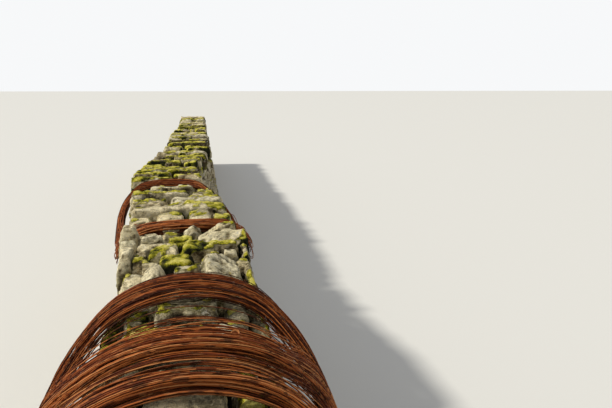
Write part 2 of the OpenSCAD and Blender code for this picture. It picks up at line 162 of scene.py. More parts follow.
def flakes(p, size, seed):
    """Slanting faces, one to a cell of this size, with small steps between them."""
    best, value = np.full(len(p), 9.0), np.zeros(len(p))
    for cell, way in scattered(p, size, seed, 0.42):
        far = way[0] ** 2 + way[1] ** 2 + way[2] ** 2
        slant = sum(way[a] * lattice(*cell, seed + 3 + a) for a in range(3)) * 1.1
        slant = slant + 0.45 * lattice(*cell, seed + 6)
        near = far < best
        value[near] = slant[near]
        best = np.minimum(best, far)
    return value


def closeness(p, others):
    """1 where points touch one of the neighbouring stones, 0 from SHADE_REACH away."""
    near = np.zeros(len(p))
    for normals, dists, middle in others:
        away = ((p - middle) @ normals.T - dists).max(1)
        near = np.maximum(near, 1 - smooth(0.002, SHADE_REACH, away))
    return near


# rocks
GRIDS = {}


def box_grid(size):
    """The surface of a box lattice: its points in -1..1 and its quads, outward."""
    if size in GRIDS:
        return GRIDS[size]
    index, points, quads = {}, [], []

    def number(spot):
        if spot not in index:
            index[spot] = len(points)
            points.append([2 * at / most - 1 for at, most in zip(spot, size)])
        return index[spot]

    for a, b, flat in ((0, 1, 2), (0, 2, 1), (1, 2, 0)):
        for i, j, end in product(range(size[a]), range(size[b]), (0, size[flat])):
            ring = [(i, j), (i, j + 1), (i + 1, j + 1), (i + 1, j)]
            if (end > 0) != (flat == 1):
                ring = [ring[k] for k in (0, 3, 2, 1)]
            quads.append([number(spot[:flat] + (end,) + spot[flat:]) for spot in ring])
    GRIDS[size] = np.array(points), np.array(quads)
    return GRIDS[size]


def stone_rays(half, cell, front):
    """Ways from a stone's middle to the points of its mesh, crowded towards its front, and the quads."""
    n = [int(np.clip(round(2 * h / cell), 3, MOST_CELLS)) for h in half]
    if front is not None:
        deep = int(np.argmax(np.abs(front[0])))
        n[deep] = max(3, round(n[deep] * 0.5))
    grid, quads = box_grid(tuple(n))
    if front is not None:
        way = np.sign(front[0][deep])
        grid = grid.copy()
        grid[:, deep] = way * (1 - 2 * ((1 - way * grid[:, deep]) / 2) ** 1.5)
    rays = np.tan(grid * math.pi / 5) / math.tan(math.pi / 5) * half
    return rays / np.linalg.norm(rays, axis=1)[:, None], quads


def stone_planes(rng, normals, dists, half, grow, push, cuts, chips, depth):
    """The stone's planes, moved out, with its own cuts and with chips struck off at random."""
    normals, dists = np.asarray(normals, float), np.asarray(dists, float) + grow
    for way in push:
        dists = dists + np.maximum(normals @ np.asarray(way, float), 0)
    for x, y, z, share in cuts:
        slope = np.array([x, y, z]) / math.sqrt(x * x + y * y + z * z)
        normals = np.vstack([normals, slope])
        dists = np.append(dists, share * (np.abs(slope) @ half))
    if chips:
        cut = rng.normal(size=(chips, 3))
        cut = cut / half * half.mean()
        cut /= np.linalg.norm(cut, axis=1)[:, None]
        reach = np.abs(cut) @ half
        normals = np.vstack([normals, cut])
        dists = np.concatenate([dists, reach * rng.uniform(*depth, chips)])
    return normals, dists


def rounded(rays, normals, dists, sharp):
    """Points on the planes along the rays, with the edges rounded, and the normals there."""
    s = np.maximum(rays @ normals.T, 0) / dists
    top = s.max(1)
    total = ((s / top[:, None]) ** sharp).sum(1)
    r = 1 / (top * total ** (1 / sharp))
    weight = (s / top[:, None]) ** (sharp - 1) / dists
    nrm = weight @ normals
    return rays * r[:, None], nrm / np.linalg.norm(nrm, axis=1)[:, None]


def weathered(p, nrm, size, bed, layers, gritty, seed):
    """How far dents, flakes, pits and bedding move each point out, and its painted shade, from 0 in the
    deepest hollows to 1 where it lies open.
    """
    big = fractal(p, size * 1.3, seed, 2)
    dents = scallops(p * (1, 1, 1.6), size * 0.85, seed + 5) ** 1.5 - 0.42
    chipped = scallops(p * (1, 1, 1.5), size * 0.33, seed + 31) - 0.5
    fine = noise(p, 0.012, seed + 9)
    flake = flakes(p * (1, 1, 1.3), size * 0.62, seed + 41)
    pits = np.minimum(scallops(p, 0.019, seed + 61), 0.5) - 0.42
    bed = np.asarray(bed, float)
    bed = bed / np.linalg.norm(bed)
    t = (p @ bed) / 0.021 + 1.3 * fractal(p, 0.13, seed + 21, 2)
    ledge = np.abs(t - np.floor(t) - 0.5) * 2
    side = 1 - np.abs(nrm @ bed)
    groove = -smooth(0.72, 1.0, ledge) * smooth(0.2, 0.6, side) * layers
    grit = fractal(p, 0.03, seed + 71, 2, 0.6) if gritty else 0.0
    broad = size * (0.06 * big + 0.1 * dents + 0.05 * chipped + 0.06 * flake)
    out = 0.0042 * grit + broad + 0.0012 * fine + 0.0055 * pits + 0.006 * groove
    # painted shade: darker in dents, chips, grooves, pits and grit, where shade falls
    painted_light = 0.62 + 0.42 * dents + 0.45 * chipped + 0.35 * groove + 0.15 * big + 0.22 * flake
    return out, np.clip(painted_light + 0.5 * pits + 0.45 * grit, 0, 1)


def mossed(p, nrm, painted_light, middle, half, moss, moss_to, swell):
    """Points with moss grown on them, their painted light and shade then, and how far the moss covers them.
    """
    field = fractal(p, 0.17, 77, 2) + 0.55 * fractal(p, 0.045, 78, 2)
    pull = ((p[:, :2] - middle[:2]) / half[:2]) @ np.asarray(moss_to, float)
    field = field + 0.75 * (moss - 0.5) + 0.55 * (nrm[:, 2] - 0.55) - 0.3 * (painted_light - 0.5) + pull
    wet = smooth(0.1, 0.42, field)
    lump = fractal(p, 0.036, 79, 3, 0.6)
    thick = 0.6 + 0.8 * lump + swell * np.clip(nrm[:, 2], 0, 1)
    p = p + (nrm * 0.6 + np.array([0, 0, 0.4])) * (wet * thick * MOSS_THICK)[:, None]
    # painted light: moss facing the sun and on its lumps is lighter, moss in hollows darker
    painted_sun_side = np.clip(nrm @ np.array([-0.45, -0.1, 0.88]), 0, 1)
    painted_moss_light = np.clip(-0.05 + painted_sun_side ** 1.8 + 0.65 * lump, 0, 1) * np.clip(0.4 + painted_light, 0, 1)
    return p, painted_light + wet * (painted_moss_light - painted_light), wet


def rock(normals, dists, middle, half, cell, seed, sharp=30.0, rough=1.0, moss=0.0, bed=(0, 0, 1), chips=9,
         depth=(0.8, 0.98), tint=None, others=(), front=None, swell=0.0, moss_to=(0, 0), grow=0.0, push=(),
         cuts=(), layers=1.0, damp=0.0, shift=(0, 0, 0), flank=None):
    """A weathered stone inside the planes normals, dists about middle. Returns points, quads and paint."""
    rng = np.random.default_rng(seed)
    half, middle = np.asarray(half, float), np.asarray(middle, float) + shift
    rays, quads = stone_rays(half, cell, front)
    normals, dists = stone_planes(rng, normals, dists, half, grow, push, cuts, chips, depth)
    p, nrm = rounded(rays, normals, dists, sharp)
    p = middle + p
    out, painted_light = weathered(p, nrm, float(half.mean()), bed, layers, cell < GRITTY_CELL, seed % 1000)
    p = p + nrm * (rough * out)[:, None]
    # painted shade near the neighbouring stones, deepest below the stone's top
    if others:
        low = smooth(0.0, 0.045, middle[2] + half[2] - p[:, 2])
        painted_light = painted_light * (1 - (0.4 + 0.57 * low) * closeness(p, others))
    # painted shade on the parts of the stone that lie back from its front, or from the outer flank of a head
    # stone
    if front is not None:
        sunk = front[1] - (p - middle) @ np.asarray(front[0], float)
        if flank is not None:
            sunk = np.minimum(sunk, half[0] - flank * (p[:, 0] - middle[0]))
        painted_light = painted_light * (1 - 0.85 * smooth(0.01, 0.038, sunk))
    wet = np.zeros(len(p))
    if moss > 0:
        p, painted_light, wet = mossed(p, nrm, painted_light, middle, half, moss, moss_to, swell)
    if damp > 0:
        down = np.clip((middle[2] + half[2] - p[:, 2]) / (2 * half[2]), 0, 1)
        wet = np.maximum(wet, damp * smooth(0.15, 0.8, down + 0.35 * fractal(p, 0.09, 83, 2)))
    one = np.ones(len(p))
    tone = rng.uniform() if tint is None else tint
    return p, quads, np.stack([one * tone, wet, painted_light, one * rng.uniform()], 1)


def neighbours(stones, i):
    """The stones of a list that lie within 30 mm of stone i, as planes."""
    low, high = stones[i][0].min(0) - 0.03, stones[i][0].max(0) + 0.03
    return [(normals, dists, middle) for j, (corners, normals, dists, middle) in enumerate(stones)
            if j != i and (corners.min(0) < high).all() and (corners.max(0) > low).all()]


def new_object(name, data):
    obj = bpy.data.objects.new(name, data)
    bpy.context.scene.collection.objects.link(obj)
    return obj


def make_piece(name, parts, material, node):
    """One object made of the points, faces and paint of parts, which takes the place of a CAD node."""
    starts = np.cumsum([0] + [len(points) for points, _, _ in parts])
    verts = np.vstack([points for points, _, _ in parts])
    faces = np.vstack([own + start for (_, own, _), start in zip(parts, starts)])
    mesh = bpy.data.meshes.new(name)
    mesh.vertices.add(len(verts))
    mesh.vertices.foreach_set("co", verts.ravel())
    mesh.loops.add(faces.size)
    mesh.loops.foreach_set("vertex_index", faces.ravel().astype(np.int32))
    mesh.polygons.add(len(faces))
    mesh.polygons.foreach_set("loop_start", np.arange(0, faces.size, faces.shape[1], dtype=np.int32))
    mesh.polygons.foreach_set("use_smooth", np.ones(len(faces), bool))
    mesh.update(calc_edges=True)
    mesh.validate()
    layer = mesh.color_attributes.new("paint", "FLOAT_COLOR", "POINT")
    layer.data.foreach_set("color", np.vstack([c for _, _, c in parts]).astype(np.float32).ravel())
    mesh.materials.append(material)
    piece = new_object(name, mesh)
    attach(piece, "root")
    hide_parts(node)


def loose_solids(node):
    """The separate solids of a CAD node, each as its corner points and its outward planes."""
    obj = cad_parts[node]
    co = np.empty(len(obj.data.vertices) * 3)
    obj.data.vertices.foreach_get("co", co)
    world = np.array(obj.matrix_world)
    co = co.reshape(-1, 3) @ world[:3, :3].T + world[:3, 3]
    keys, merged = {}, np.empty(len(co), int)
    for i, c in enumerate(np.round(co * 1e5).astype(int)):
        merged[i] = keys.setdefault(tuple(c), len(keys))
    points = np.empty((len(keys), 3))
    points[merged] = co
    root = list(range(len(keys)))

    def find(a):
        while root[a] != a:
            root[a] = root[root[a]]
            a = root[a]
        return a

    tris = [[merged[v] for v in f.vertices] for f in obj.data.polygons]
    for t in tris:
        for v in t[1:]:
            root[find(v)] = find(t[0])
    groups = {}
    for t in tris:
        groups.setdefault(find(t[0]), []).append(t)
    out = []
    for g in groups.values():
        corners = points[sorted({v for t in g for v in t})]
        middle = (corners.min(0) + corners.max(0)) / 2
        normals, dists = [], []
        for t in g:
            a, b, c = points[t[0]], points[t[1]], points[t[2]]
            n = np.cross(b - a, c - a)
            if np.linalg.norm(n) < 1e-7:
                continue
            n /= np.linalg.norm(n)
            d = float(n @ (a - middle))
            if d < 0:
                n, d = -n, -d
            if not any(abs(d - e) < 1e-4 and float(n @ m) > 0.9999 for m, e in zip(normals, dists)):
                normals.append(n)
                dists.append(max(d, 1e-3))
        out.append((corners, np.array(normals), np.array(dists), middle))
    out.sort(key=lambda s: (round(float(s[3][1]), 3), float(s[3][0])))
    return out


# materials
class Nodes:
    def __init__(self, tree):
        self.tree = tree
        self.where = None

    def add(self, kind, **values):
        node = self.tree.nodes.new("ShaderNode" + kind)
        for key, value in values.items():
            setattr(node, key, value)
        return node

    def link(self, a, b):
        self.tree.links.new(a, b)

    def put(self, socket, value):
        if isinstance(value, bpy.types.NodeSocket):
            self.link(value, socket)
        else:
            socket.default_value = value

    def noise(self, scale, detail=6, rough=0.6, distort=0, where=None):
        node = self.add("TexNoise")
        self.link(where or self.where, node.inputs["Vector"])
        for key, value in dict(Scale=scale, Detail=detail, Roughness=rough, Distortion=distort).items():
            node.inputs[key].default_value = value
        return node.outputs["Fac"]

    def cells(self, scale):
        node = self.add("TexVoronoi")
        self.link(self.where, node.inputs["Vector"])
        node.inputs["Scale"].default_value = scale
        return node.outputs["Distance"]

    def math(self, op, a, b=0, c=0):
        node = self.add("Math", operation=op)
        for socket, value in zip(node.inputs, (a, b, c)):
            self.put(socket, value)
        return node.outputs[0]

    def times(self, a, b):
        return self.math("MULTIPLY", a, b)

    def scaled(self, a, b, c):
        """a times b, plus c."""
        return self.math("MULTIPLY_ADD", a, b, c)

    def step(self, a, b, x):
        node = self.add("MapRange", interpolation_type="SMOOTHSTEP")
        for i, value in ((0, x), (1, a), (2, b), (3, 0), (4, 1)):
            self.put(node.inputs[i], value)
        return node.outputs[0]

    def mix(self, fac, a, b, mode="MIX"):
        node = self.add("Mix", data_type="RGBA", blend_type=mode)
        self.put(node.inputs[0], fac)
        for i, value in ((6, a), (7, b)):
            self.put(node.inputs[i], (*value, 1) if isinstance(value, tuple) else value)
        return node.outputs[2]

    def blotches(self, colour, paint, noise, low, high, share, mode="MIX", where=None):
        """Colour with paint where a noise, of this scale, detail and roughness, goes from low to high."""
        fac = self.times(self.step(low, high, self.noise(*noise, where=where)), share)
        return self.mix(fac, colour, paint, mode)

    def ramp(self, fac, stops):
        node = self.add("ValToRGB")
        ramp = node.color_ramp
        while len(ramp.elements) < len(stops):
            ramp.elements.new(0.5)
        for e, (at, colour) in zip(ramp.elements, stops):
            e.position, e.color = at, (*colour, 1)
        self.put(node.inputs[0], fac)
        return node.outputs[0]

    def bump(self, height, strength, distance, normal=None):
        node = self.add("Bump")
        node.inputs["Strength"].default_value = strength
        node.inputs["Distance"].default_value = distance
        self.link(height, node.inputs["Height"])
        if normal is not None:
            self.link(normal, node.inputs["Normal"])
        return node.outputs[0]


def new_material(name):
    mat = bpy.data.materials.new(name)
    mat.use_nodes = True
    tree = mat.node_tree
    tree.nodes.clear()
    out = tree.nodes.new("ShaderNodeOutputMaterial")
    shader = tree.nodes.new("ShaderNodeBsdfPrincipled")
    tree.links.new(shader.outputs[0], out.inputs[0])
    return mat, Nodes(tree), shader


def painted(n):
    """The four channels of the paint on the mesh. Noise is laid by the place on the object."""
    n.where = n.add("TexCoord").outputs["Object"]
    paint = n.add("Attribute", attribute_name="paint")
    split = n.add("SeparateColor")
    n.link(paint.outputs["Color"], split.inputs[0])
    return split.outputs[0], split.outputs[1], split.outputs[2], paint.outputs["Alpha"]


def brighter(colour, share):
    return tuple(min(1, c * share) for c in colour)


def stone_colour(n, tint, other, wet, grain, mottle, dark, mid, pale, lichen, moss):
    """Bare stone with its stains, crusts of lichen and a film of algae."""
    broad = n.noise(7, 4, 0.55, 0.4)
    tone = n.scaled(tint, 0.3, n.times(broad, 1.25))
    tone = n.scaled(mottle, 1.1, tone)
    tone = n.math("SUBTRACT", tone, 0.8)
    colour = n.ramp(tone, [(0.19, dark), (0.35, mid), (0.53, pale), (0.8, brighter(pale, 1.15))])
    warm = n.mix(other, (0.96, 0.98, 1.00), (1.05, 1, 0.9))
    colour = n.mix(1, colour, warm, "MULTIPLY")
    colour = n.mix(n.times(n.step(0.45, 0.8, grain), 0.4), colour, dark, "MULTIPLY")
    colour = n.blotches(colour, mid, (26, 6, 0.66, 0.2), 0.5, 0.62, 0.42, "MULTIPLY")

    spots = n.noise(42, 5, 0.75, 0.4)
    patch = n.noise(6.5, 3, 0.5)
    crust = n.times(n.step(0.56, 0.62, spots), n.step(0.46, 0.6, patch))
    colour = n.mix(n.times(crust, 0.75 * lichen), colour, (0.74, 0.71, 0.6))
    ring = n.cells(38)
    yellow = n.times(n.step(0.24, 0.13, ring), n.step(0.57, 0.66, n.noise(4, 3, 0.5)))
    colour = n.mix(n.times(yellow, 0.7 * lichen), colour, (0.55, 0.42, 0.075))
    algae = n.math("ADD", n.noise(9, 5, 0.6, 0.5), n.times(wet, 0.9))
    algae = n.times(n.step(0.52, 0.76, algae), 0.6)
    colour = n.mix(n.times(algae, moss), colour, (0.175, 0.165, 0.048))
    colour = n.blotches(colour, (0.075, 0.058, 0.032), (16, 7, 0.72, 0.3), 0.54, 0.66, 0.7)
    colour = n.blotches(colour, (0.105, 0.085, 0.055), (64, 5, 0.72, 0.3), 0.56, 0.63, 0.62)
    return n.blotches(colour, brighter(pale, 1.12), (52, 5, 0.7, 0.5), 0.58, 0.64, 0.55)


def moss_colour(n, painted_light, tuft, clump):
    """Moss, dark in painted shade where it lies low and yellow in painted light on its open tops, with dry
    patches.
    """
    green = n.math("ADD", n.times(tuft, 0.46), n.times(clump, 0.95))
    green = n.scaled(n.noise(14, 4, 0.6), 0.55, n.math("SUBTRACT", green, 0.72))
    green = n.scaled(painted_light, 0.66, green)
    mossy = n.ramp(green, [(0.38, (0.012, 0.014, 0.002)), (0.5, (0.06, 0.068, 0.005)),
                           (0.59, (0.235, 0.235, 0.011)), (0.7, (0.64, 0.57, 0.035)),
                           (0.88, (0.94, 0.85, 0.22))])
    return n.blotches(mossy, (0.21, 0.155, 0.035), (19, 5, 0.65, 0.4), 0.57, 0.7, 0.45)


def stone_material(name, dark, mid, pale, lichen=1, moss=1):
    mat, n, shader = new_material(name)
    tint, wet, painted_light, other = painted(n)
    mottle = n.noise(30, 8, 0.7, 0.2)
    grain = n.noise(130, 6, 0.7)
    colour = stone_colour(n, tint, other, wet, grain, mottle, dark, mid, pale, lichen, moss)
    # painted shade in hollows and between stones, with a little painted light on open parts
    shade = n.ramp(painted_light, [(0, (0.03, 0.022, 0.012)), (0.24, (0.24, 0.2, 0.14)),
                            (0.48, (0.82, 0.8, 0.75)), (0.62, (1.06, 1.05, 1.03))])
    colour = n.mix(0.92, colour, shade, "MULTIPLY")

    tuft = n.noise(210, 4, 0.75)
    clump = n.noise(34, 6, 0.65)
    edge = n.math("ADD", wet, n.times(n.math("SUBTRACT", clump, 0.5), 1.3))
    edge = n.scaled(n.math("SUBTRACT", n.noise(11, 4, 0.6), 0.5), 0.9, edge)
    cover = n.step(0.4, 0.6, edge)
    colour = n.mix(n.times(cover, moss), colour, moss_colour(n, painted_light, tuft, clump))
    n.link(colour, shader.inputs["Base Color"])
    n.link(n.scaled(mottle, -0.12, 0.97), shader.inputs["Roughness"])
    n.put(shader.inputs["Specular IOR Level"], 0.2)

    pits = n.cells(150)
    crack = n.noise(17, 8, 0.7, 0.4)
    crack = n.step(0, 0.06, n.math("ABSOLUTE", n.math("SUBTRACT", crack, 0.5)))
    height = n.scaled(grain, 0.42, n.times(mottle, 0.8))
    height = n.scaled(n.step(0, 0.35, pits), 0.22, height)
    height = n.scaled(crack, 0.28, height)
    stone_normal = n.bump(height, 0.9, 0.015)
    fluff = n.scaled(tuft, 0.8, n.times(n.noise(90, 3, 0.6), 0.7))
    fluff = n.times(fluff, cover)
    n.link(n.bump(fluff, 0.9, 0.01, stone_normal), shader.inputs["Normal"])
    return mat


def rust_material():
    mat, n, shader = new_material("rusted_wire")
    tint, painted_band_light, deep, _ = painted(n)
    broad = n.noise(9, 4, 0.6)
    scale = n.noise(160, 6, 0.75)
    tone = n.scaled(tint, 0.6, n.times(broad, 0.26))
    tone = n.scaled(scale, 0.3, n.math("SUBTRACT", tone, 0.1))
    # painted light and shade: each band of a coil is made lighter or darker as a whole
    tone = n.scaled(painted_band_light, 0.24, tone)
    colour = n.ramp(tone, [(0.3, (0.045, 0.009, 0.003)), (0.46, (0.15, 0.031, 0.007)),
                           (0.62, (0.31, 0.072, 0.013)), (0.78, (0.46, 0.135, 0.028)),
                           (0.98, (0.58, 0.24, 0.08))])
    colour = n.blotches(colour, (0.36, 0.25, 0.17), (24, 4, 0.6), 0.62, 0.7, 0.3)
    stretch = n.add("VectorMath", operation="MULTIPLY")
    n.link(n.where, stretch.inputs[0])
    n.put(stretch.inputs[1], (0.22, 1, 0.6))
    streak = stretch.outputs[0]
    colour = n.blotches(colour, (0.56, 0.26, 0.1), (120, 3, 0.55), 0.57, 0.66, 0.42, where=streak)
    colour = n.blotches(colour, (0.028, 0.007, 0.002), (95, 3, 0.55), 0.46, 0.36, 0.8, where=streak)
    # painted shade: strands on the inner side of the bundle are darkened towards near black
    colour = n.mix(n.math("SUBTRACT", 1, deep), colour, (0.026, 0.007, 0.003))
    n.link(colour, shader.inputs["Base Color"])
    n.link(n.scaled(scale, 0.25, 0.66), shader.inputs["Roughness"])
    n.put(shader.inputs["Specular IOR Level"], 0.22)
    n.link(n.bump(scale, 0.6, 0.001), shader.inputs["Normal"])
    return mat


COPE_MAT = stone_material("cope_limestone", (0.085, 0.06, 0.026), (0.44, 0.37, 0.22), (0.88, 0.79, 0.55))
FACE_MAT = stone_material("face_limestone", (0.09, 0.068, 0.034), (0.39, 0.335, 0.215), (0.72, 0.65, 0.475),
                          1, 0.7)
CORE_MAT = stone_material("hearting_limestone", (0.03, 0.025, 0.018), (0.09, 0.08, 0.06), (0.18, 0.16, 0.12),
                          0.3, 0.2)
RUST = rust_material()


# how far out chips are struck off, as shares of a stone's reach, and the looks that shown stones share
SHALLOW, FLAT_CUT = (0.9, 1.0), (0.88, 1.0)
SHOWN = dict(damp=0.22, layers=0.1)

# cope stones that the photograph shows one by one: place across and along the wall, sharpness, chips, moss,
# tint and other looks
KNOWN = [
    (0.122, 1.475, 20, 3, 0, 0.45, dict(
        depth=(0.92, 1), rough=1.2, grow=0.004,
        cuts=[(0.43, 0.05, 0.9, 0.44), (-0.8, 0, 0.6, 0.84), (0.1, -0.7, 0.7, 0.8), (0, 0, 1, 0.9)])),
    (-0.1, 1.435, 60, 0, 0, 0.8, dict(
        rough=0.7, push=[(-0.05, 0, 0), (0.006, 0, 0)], shift=(-0.014, 0, 0.008),
        cuts=[(-0.7, -0.05, 0.7, 0.56), (0.34, -0.05, 0.94, 0.74)])),
    (-0.206, 1.4915, 50, 4, 0, 1.3, dict(
        depth=SHALLOW, rough=0.9, grow=0.005, push=[(0.02, 0, 0)], cuts=[(-0.4, -0.5, 0.75, 0.8)])),
    (0.229, 1.475, 24, 7, 0.55, 0, dict(rough=1.1, grow=0.006, layers=1)),
    (-0.001, 1.531, 60, 3, 0.1, 1.1, dict(
        depth=SHALLOW, rough=0.8, layers=0.2, grow=0.004,
        push=[(0, 0, 0.022), (0.02, 0, 0), (-0.02, 0, 0)])),
    (-0.037, 1.631, 9, 0, 1.9, 0.5, dict(
        rough=0.4, grow=0.006, swell=1.2, layers=1, push=[(-0.015, 0, 0)],
        cuts=[(0, 0, 1, 0.88), (0.6, -0.1, 0.8, 0.76)])),
    (-0.159, 1.631, 60, 6, 0.45, 0.5, dict(moss_to=(0, 0.4), layers=0.2, shift=(0, 0, -0.04))),
    (-0.237, 1.631, 80, 4, 0.1, 1.2, dict(rough=0.9, grow=0.005, shift=(0, 0, -0.055))),
    (0.089, 1.671, 36, 6, 0.2, 0.6, dict(layers=0.2)),
    (0.177, 1.701, 36, 6, 0.62, 0.6, dict(layers=0.2)),
    (0.239, 1.7455, 24, 6, 0.7, 0, dict(rough=1.1, grow=0.006, layers=1)),
    (-0.229, 1.7755, 80, 4, 0.12, 1.2, dict(
        depth=SHALLOW, grow=0.007, push=[(0, 0, 0.022)], cuts=[(1, 0, 0, 0.12)])),
    (-0.102, 1.7755, 80, 4, 0.66, 1.2, dict(
        depth=SHALLOW, rough=0.8, grow=0.008, moss_to=(-0.9, 0.35), cuts=[(-0.1, -0.45, 0.88, 0.8)])),
    (0.025, 1.7755, 14, 3, 0.8, 0, dict(swell=0.5, moss_to=(-0.35, 0.3), layers=0.2, grow=0.008)),
    (0.147, 1.8055, 30, 5, 0.85, 0.3, dict(depth=FLAT_CUT, grow=0.008, layers=0.2, moss_to=(0, 0.3))),
    (-0.256, 1.885, 70, 4, 0.1, 1, dict(depth=SHALLOW, grow=0.006)),
    (-0.151, 1.885, 70, 4, 0.1, 1.6, dict(
        depth=SHALLOW, rough=0.9, grow=0.008, layers=0.2, cuts=[(-0.1, -0.45, 0.88, 0.8)])),
    (-0.024, 1.885, 60, 6, 0.6, 0.8, dict(depth=FLAT_CUT, rough=0.9, grow=0.004, layers=0.2)),
    (0.155, 1.922, 80, 4, 0.38, 1.25, dict(
        depth=(0.92, 1), rough=0.8, grow=0.008, moss_to=(0.35, -0.3), layers=0.3, push=[(0, 0, 0.016)],
        cuts=[(-0.42, 0, 0.9, 0.8), (-0.05, -0.42, 0.9, 0.72)])),
    (-0.257, 1.957, 70, 5, 0.25, 0.8, dict(grow=0.005)),
    (-0.153, 1.957, 60, 5, 0.12, 1.6, dict(
        depth=FLAT_CUT, rough=0.9, grow=0.008, cuts=[(-0.5, -0.2, 0.84, 0.84), (0.1, -0.45, 0.88, 0.82)])),
    (-0.026, 1.957, 40, 6, 0.75, 0.8, dict(rough=0.9, grow=0.004, moss_to=(-0.4, 0.2), layers=0.2)),
    (-0.259, 2.047, 60, 6, 0, 1.2, dict(push=[(0, 0, 0.03)])),
    (-0.074, 2.047, 30, 5, 0.9, 0.5, dict(rough=0.9, layers=0.2)),
    (0.031, 2.047, 50, 3, 0.1, 0.45, dict(
        depth=SHALLOW, rough=0.9, grow=0.01, cuts=[(-0.6, -0.2, 0.78, 0.62), (0.6, -0.2, 0.78, 0.62)])),
    (0.167, 2.047, 40, 5, 0.5, 1, dict(
        depth=FLAT_CUT, rough=0.9, moss_to=(0.6, 0.2), layers=0.3, cuts=[(-0.55, -0.1, 0.82, 0.62)])),
    (-0.2135, 1.024, 40, 5, 1.3, 1, dict(moss_to=(0, 0.4), layers=1)),
]

# small stones wedged between the others: place across and along the wall, height, half sizes, tint, moss and
# sharpness
PACKING = [
    (-0.196, 1.775, 1.07, (0.024, 0.064, 0.056), 0.3, 0.2, 40),
    (-0.15, 1.705, 1.095, (0.03, 0.022, 0.026), 0.8, 0.3, 30),
    (-0.205, 1.64, 1.075, (0.034, 0.02, 0.018), 0.1, 0.9, 20),
    (0.17, 1.665, 1.148, (0.024, 0.026, 0.014), 1.4, 0.0, 40),
    (0.034, 1.655, 1.08, (0.02, 0.03, 0.03), 0.2, 0.2, 30),
    (-0.105, 1.87, 1.128, (0.05, 0.014, 0.016), 1.1, 0.5, 40),
    (0.03, 1.88, 1.13, (0.03, 0.018, 0.018), 0.9, 0.2, 40),
    (-0.19, 1.9, 1.11, (0.022, 0.03, 0.022), 0.5, 0.5, 30),
    (0.085, 1.76, 1.135, (0.022, 0.02, 0.016), 1.0, 0.1, 40),
    (-0.185, 2.01, 1.12, (0.026, 0.02, 0.022), 0.4, 0.3, 30),
    (0.215, 1.61, 1.105, (0.024, 0.034, 0.024), 0.9, 0.4, 40),
    (-0.07, 2.15, 1.12, (0.04, 0.02, 0.018), 1.0, 0.2, 40),
]


def box_planes(half):
    return np.vstack([np.eye(3), -np.eye(3)]), np.concatenate([half, half])


def cope_looks(middle, rng, flat):
    """A cope stone's looks, from the table or by its place: darker and mossier far away, darker under wire
    as painted shade, and paler near the front as painted light.
    """
    for x, along, sharp, chips, moss, tint, looks in KNOWN:
        y = NEAR_Y + along
        if abs(middle[0] - centre(y) - x) < 0.02 and abs(middle[1] - y) < 0.03:
            return dict(SHOWN, sharp=sharp, chips=chips, moss=moss, tint=tint, **looks)
    along = middle[1] - NEAR_Y
    # painted light and shade: stones at the front, in the coils' shadow, get a paler tint, and stones under
    # the wire a darker one
    away, under = smooth(2.6, 4.4, along), 1 - smooth(1.15, 1.35, along)
    front = 1 - smooth(0.72, 0.92, along)
    if flat:
        return dict(sharp=30, chips=5, depth=(0.84, 1.0), rough=0.8, moss=0.45 - 0.1 * front,
                    damp=0.35 - 0.2 * front, layers=0.4, tint=rng.uniform(-0.5, 0.1) + 1.6 * front,
                    cuts=[(0.3, -0.62, 0.72, 0.8), (-0.35, -0.55, 0.75, 0.84)])
    return dict(sharp=rng.uniform(34, 90), chips=7, depth=(0.85, 1.0), rough=rng.uniform(0.8, 1.25),
                grow=0.006, moss=rng.uniform(0.0, 0.95) + 0.3 * away - 0.2 * front,
                tint=rng.uniform(0.1, 1.1) * (1 + 1.3 * away) - 1.25 * away - 0.4 * under + 0.6 * front,
                moss_to=(rng.uniform(-0.4, 0.4), rng.uniform(-0.3, 0.5)), layers=rng.uniform(0.0, 0.6),
                damp=0.3 + 0.15 * away,
                cuts=[(rng.uniform(-0.4, 0.4), rng.uniform(-0.45, 0.1), 0.9, rng.uniform(0.78, 0.92))])


def cope_cell(along):
    """Width of a cope stone's mesh cells, finest where the photograph shows the stones one by one."""
    if 1.2 < along < 2.1:
        return 0.007
    return 0.011 if along < 3.3 else 0.016 if along < 5.2 else 0.024


def cope_piece(b):
    name = f"cope_{b}"
    parts, stones = [], loose_solids(name)
    for i, (corners, normals, dists, middle) in enumerate(stones):
        half = (corners.max(0) - corners.min(0)) / 2
        rng = np.random.default_rng(1000 * b + i)
        flat = (corners[:, 2] > corners[:, 2].max() - 1e-5).sum() > 3
        parts.append(rock(normals, dists, middle, half, cope_cell(middle[1] - NEAR_Y), 1000 * b + i,
                          bed=(0, rng.uniform(-0.3, 0.5), 1), others=neighbours(stones, i),
                          **cope_looks(middle, rng, flat)))
    if b == 1:
        for i, (x, along, z, half, tint, moss, sharp) in enumerate(PACKING):
            y = NEAR_Y + along
            middle = (centre(y) + x, y, z)
            parts.append(rock(*box_planes(half), middle, half, PACKING_CELL, PACKING_SEED + i, tint=tint,
                              depth=(0.78, 0.98), moss=moss, sharp=sharp, chips=5 if i == 2 else 6))
    make_piece(f"cope_stones_{b}", parts, COPE_MAT, name)


for bay in BAYS:
    cope_piece(bay)


# faces, laid as in the part's source
def quoin(k):
    return HEAD_DEPTH if k % 2 == 0 else HEAD_DEPTH - QUOIN_BACK


def bay_start(b):
    return NEAR_Y + HEAD_DEPTH if b == 1 else NEAR_Y + (b - 1) * BAY


def bay_end(b):
    return -NEAR_Y - HEAD_DEPTH if b == 6 else NEAR_Y + b * BAY


def through_y(b, i):
    share = (0.14, 0.56) if b == 2 else (0.4, 0.76)
    return NEAR_Y + (b - 1) * BAY + BAY * share[i] + around(b * 7 + i, 0.012)


def joint_y(ya, yb, m, j, s):
    if j <= 0:
        return ya
    if j >= m:
        return yb
    return ya + (yb - ya) * (j + around(s + j * 3.7, 0.22)) / m


